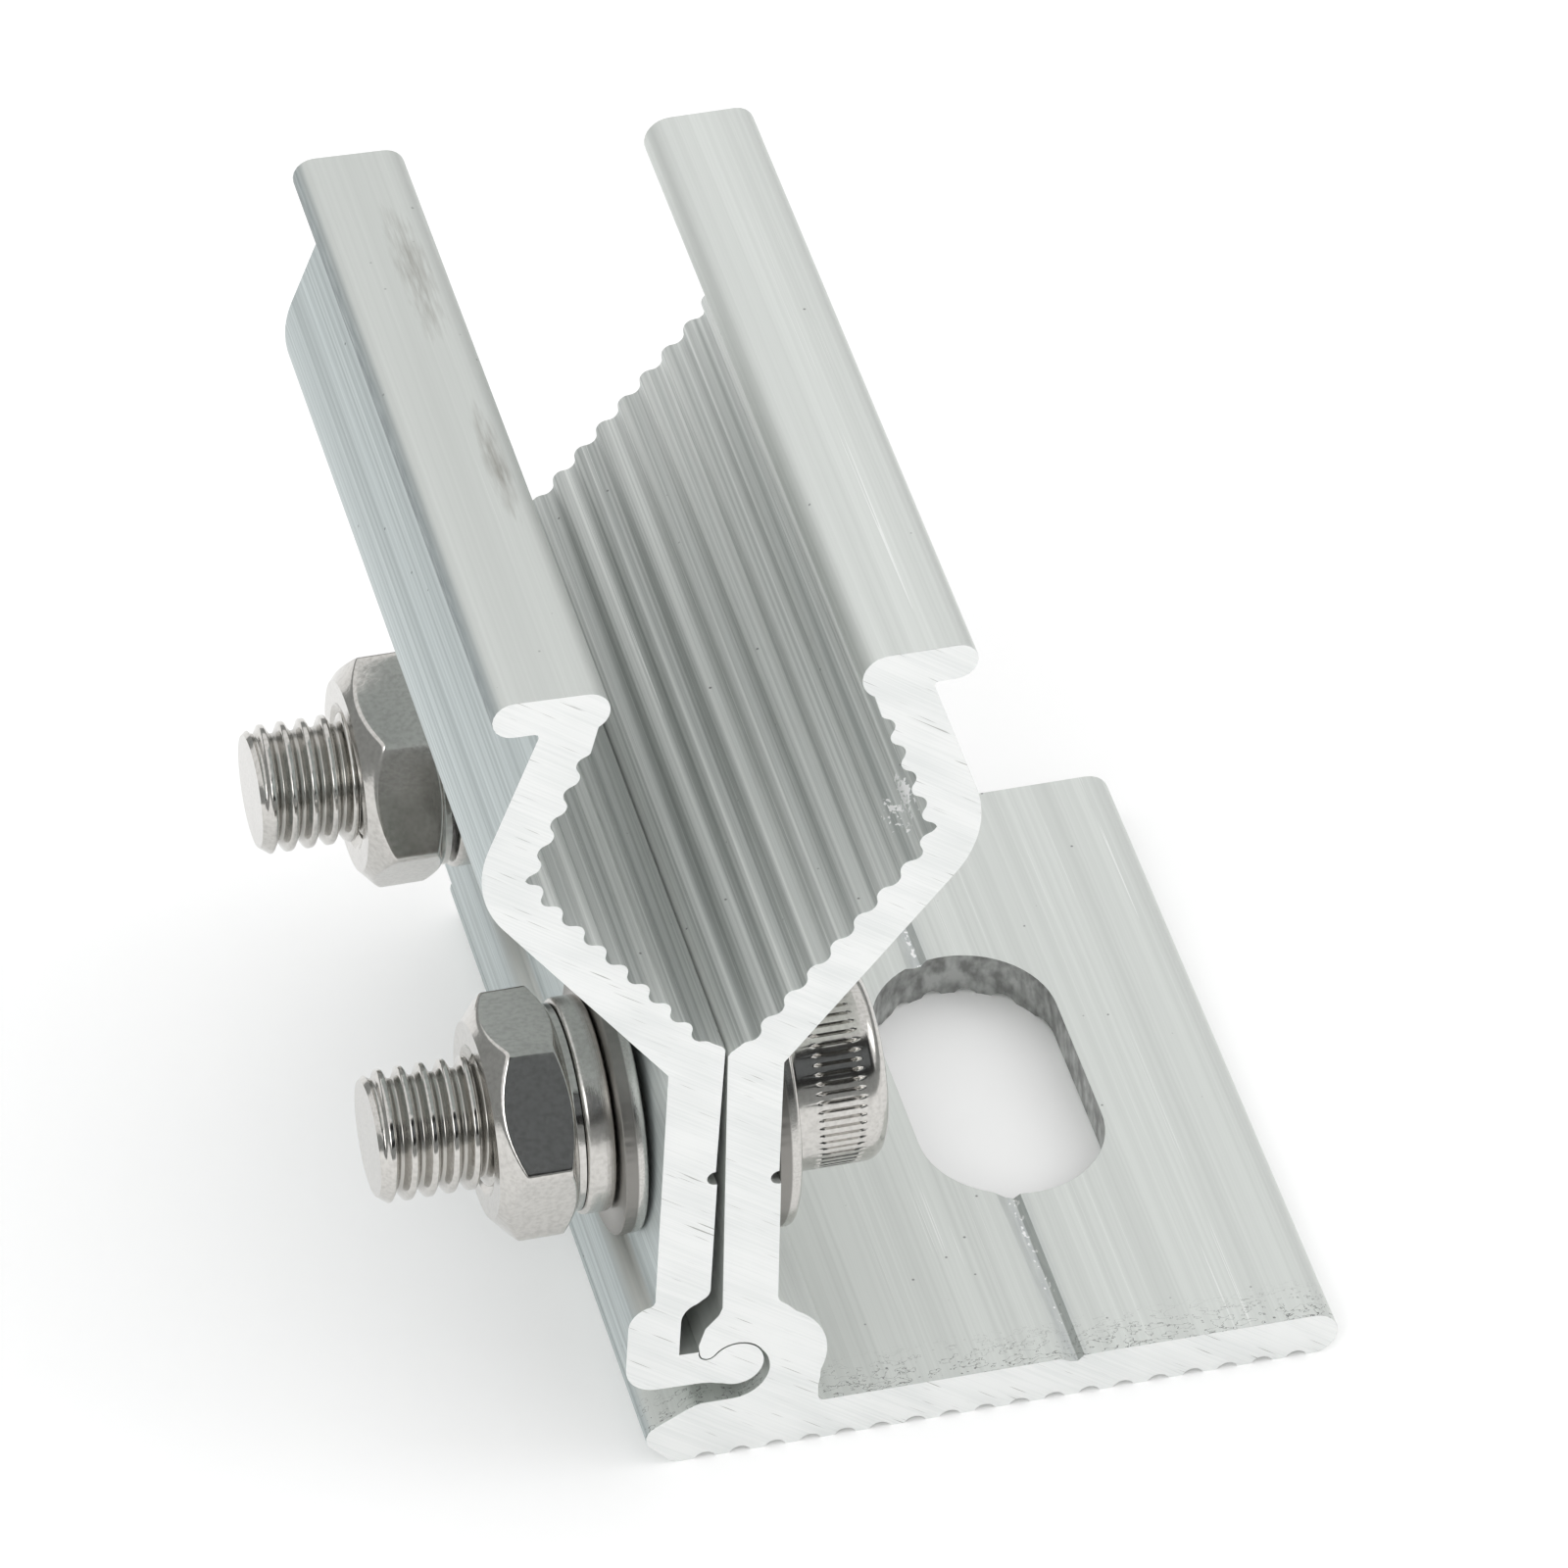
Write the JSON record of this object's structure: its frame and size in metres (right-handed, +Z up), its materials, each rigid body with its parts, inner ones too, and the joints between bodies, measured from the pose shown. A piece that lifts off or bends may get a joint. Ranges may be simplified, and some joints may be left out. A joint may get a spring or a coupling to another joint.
{
  "type": "solar panel clamp",
  "caption": "Standing seam roof clamp for solar rails: two hooked extruded jaws with toothed arms, drawn together by cross screws over a slotted base plate.",
  "frame": {"origin": "on the underside of the base plate, below the inner face of the base jaw's web, at the middle of the extrusion's length", "axes": "+X from the jaws towards the free end of the base plate, +Y along the extrusion, +Z up towards the top flanges"},
  "size_m": [0.057, 0.05, 0.0612],
  "materials": {
    "extruded_aluminium": "mill finish, lengthwise die lines, saw-cut ends",
    "stainless_steel": "bright, cold formed"
  },
  "bodies": {
    "base_jaw": {"base_jaw": "extruded_aluminium"},
    "hook_jaw": {"hook_jaw": "extruded_aluminium"},
    "front_screw": {"front_screw": "stainless_steel", "front_head_washer": "stainless_steel"},
    "rear_screw": {"rear_screw": "stainless_steel", "rear_head_washer": "stainless_steel"},
    "front_washers": {"front_flat_washer": "stainless_steel", "front_spring_washer": "stainless_steel"},
    "rear_washers": {"rear_flat_washer": "stainless_steel", "rear_spring_washer": "stainless_steel"},
    "front_nut": {"front_nut": "stainless_steel"},
    "rear_nut": {"rear_nut": "stainless_steel"}
  },
  "joints": [
    {"name": "front_nut_spin", "type": "hinge", "parent": "front_washers", "child": "front_nut", "pos_m": [-0.01, -0.01565, 0.0212], "axis": [-1, 0, 0], "range_deg": [0, 1010]},
    {"name": "rear_nut_spin", "type": "hinge", "parent": "rear_washers", "child": "rear_nut", "pos_m": [-0.01, 0.01565, 0.0212], "axis": [-1, 0, 0], "range_deg": [0, 1010]},
    {"name": "front_washer_slide", "type": "slide", "parent": "front_screw", "child": "front_washers", "axis": [-1, 0, 0], "range_m": [0, 0.0035]},
    {"name": "rear_washer_slide", "type": "slide", "parent": "rear_screw", "child": "rear_washers", "axis": [-1, 0, 0], "range_m": [0, 0.0035]},
    {"name": "jaw_open", "type": "hinge", "parent": "base_jaw", "child": "hook_jaw", "pos_m": [0.00095, 0, 0.00725], "axis": [0, -1, 0], "range_deg": [0, 8]},
    {"name": "front_screw_spin", "type": "hinge", "parent": "base_jaw", "child": "front_screw", "pos_m": [0.005, -0.01565, 0.0212], "axis": [1, 0, 0], "continuous": true},
    {"name": "rear_screw_spin", "type": "hinge", "parent": "base_jaw", "child": "rear_screw", "pos_m": [0.005, 0.01565, 0.0212], "axis": [1, 0, 0], "continuous": true}
  ],
  "couplings": [
    {"joint": "front_nut_spin", "follows": "jaw_open", "ratio": 94.499},
    {"joint": "rear_nut_spin", "follows": "jaw_open", "ratio": 94.499},
    {"joint": "front_washer_slide", "follows": "jaw_open", "m_per_rad": 0.0188},
    {"joint": "rear_washer_slide", "follows": "jaw_open", "m_per_rad": 0.0188}
  ]
}
